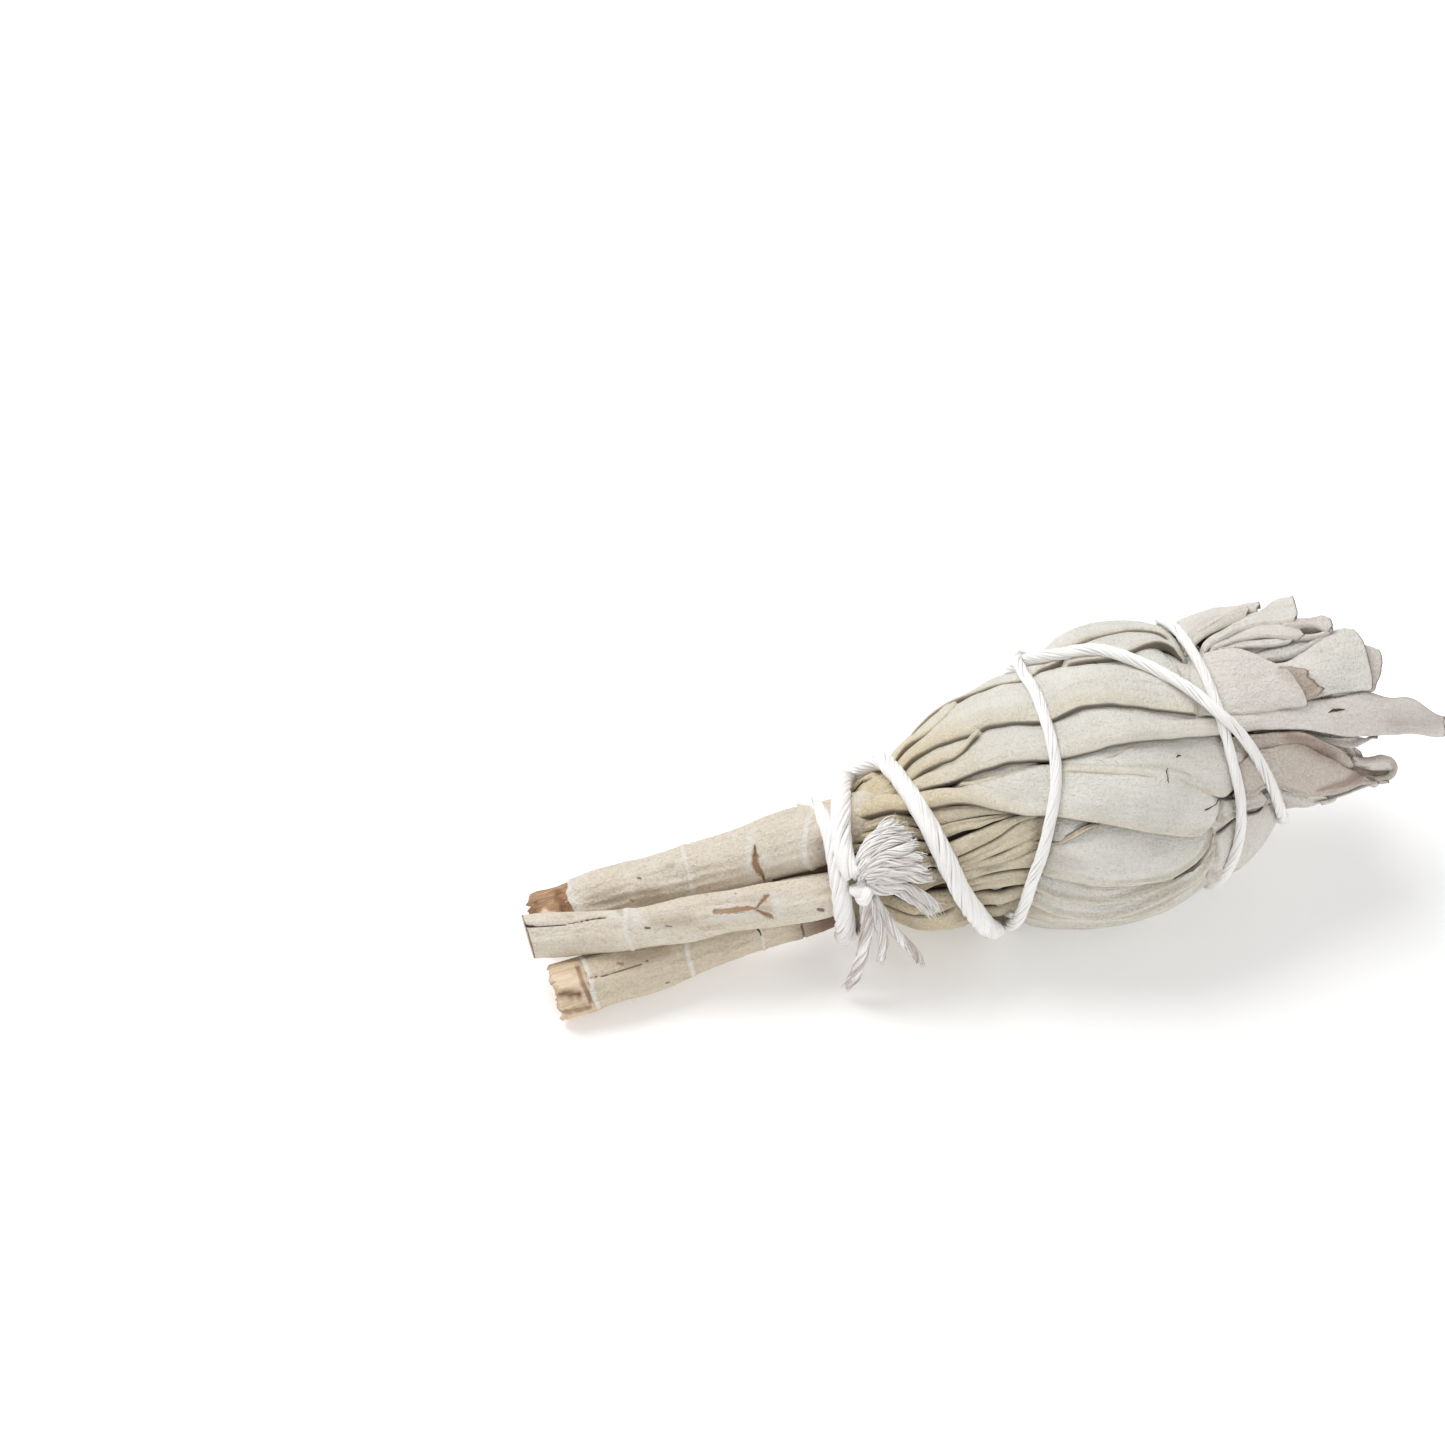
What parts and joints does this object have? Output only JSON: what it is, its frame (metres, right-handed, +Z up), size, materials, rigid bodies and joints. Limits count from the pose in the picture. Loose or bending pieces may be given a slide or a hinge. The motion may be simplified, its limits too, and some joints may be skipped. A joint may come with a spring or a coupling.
{
  "type": "smudge stick",
  "caption": "White sage smudge stick: cut stalks whose pressed leaves form a spindle-shaped head, bound by one wound cotton string that is knotted at the neck.",
  "frame": {"origin": "under the middle of the bounding box, on the surface that the stick lies on", "axes": "+X from the cut stem ends to the leaf tips, +Z up, -Y towards the side with the knot"},
  "size_m": [0.1194, 0.039, 0.0391],
  "materials": {
    "stem": "dry bark, matt",
    "leaf": "dry felted leaf, matt",
    "string": "undyed twisted cotton, matt"
  },
  "bodies": {
    "root": {"stem_upper": "stem", "stem_middle": "stem", "stem_lower": "stem", "leaves_upper": "leaf", "leaves_middle": "leaf", "leaves_lower": "leaf", "cotton_string": "string"}
  },
  "joints": []
}
